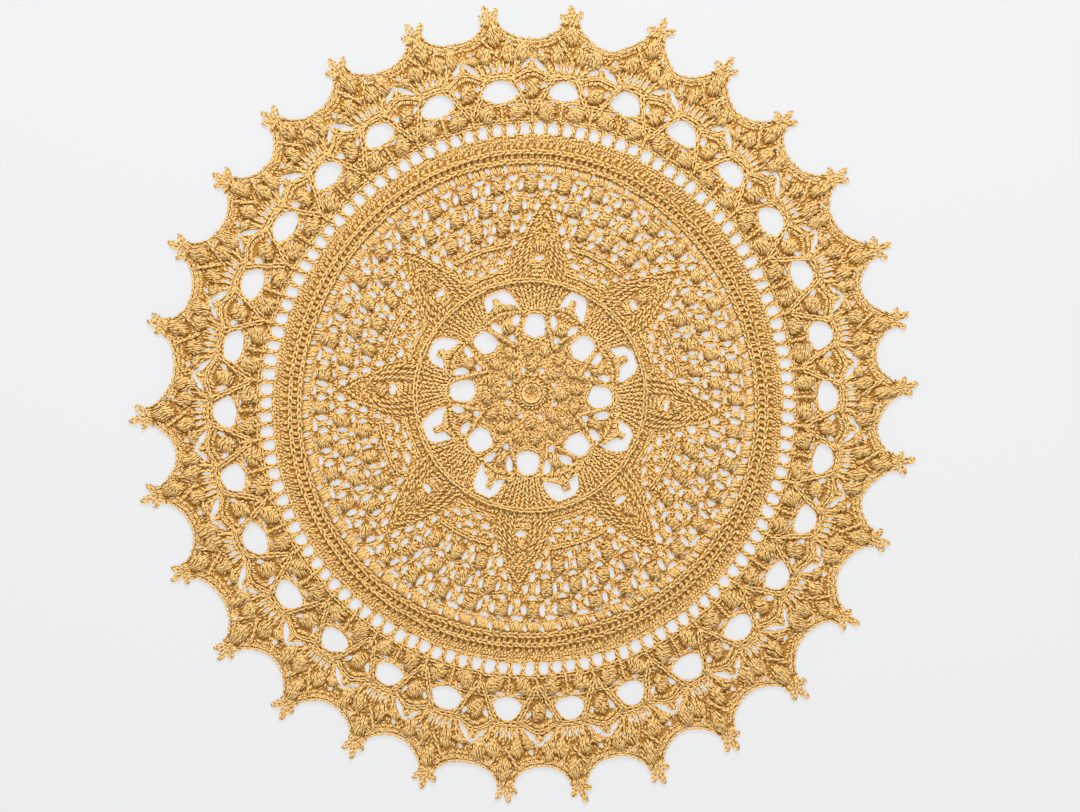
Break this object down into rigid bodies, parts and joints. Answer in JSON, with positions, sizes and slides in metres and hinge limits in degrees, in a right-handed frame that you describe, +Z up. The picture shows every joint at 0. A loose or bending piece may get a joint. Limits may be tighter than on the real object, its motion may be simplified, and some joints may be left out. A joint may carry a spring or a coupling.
{
  "type": "lace doily",
  "caption": "Round crocheted lace doily in ochre cotton, with an eight-pointed star, a ribbed band and a pointed picot edge, lying flat.",
  "frame": {"origin": "on the flat underside, under the middle of the doily's bounding box", "axes": "+Z up from the underside through the thickness, +Y towards the top of the picture, +X to its right"},
  "size_m": [0.395, 0.4001, 0.0029],
  "materials": {
    "ochre_thread": "mercerised cotton crochet thread, matt with a slight sheen"
  },
  "bodies": {
    "root": {"doily": "ochre_thread"}
  },
  "joints": []
}
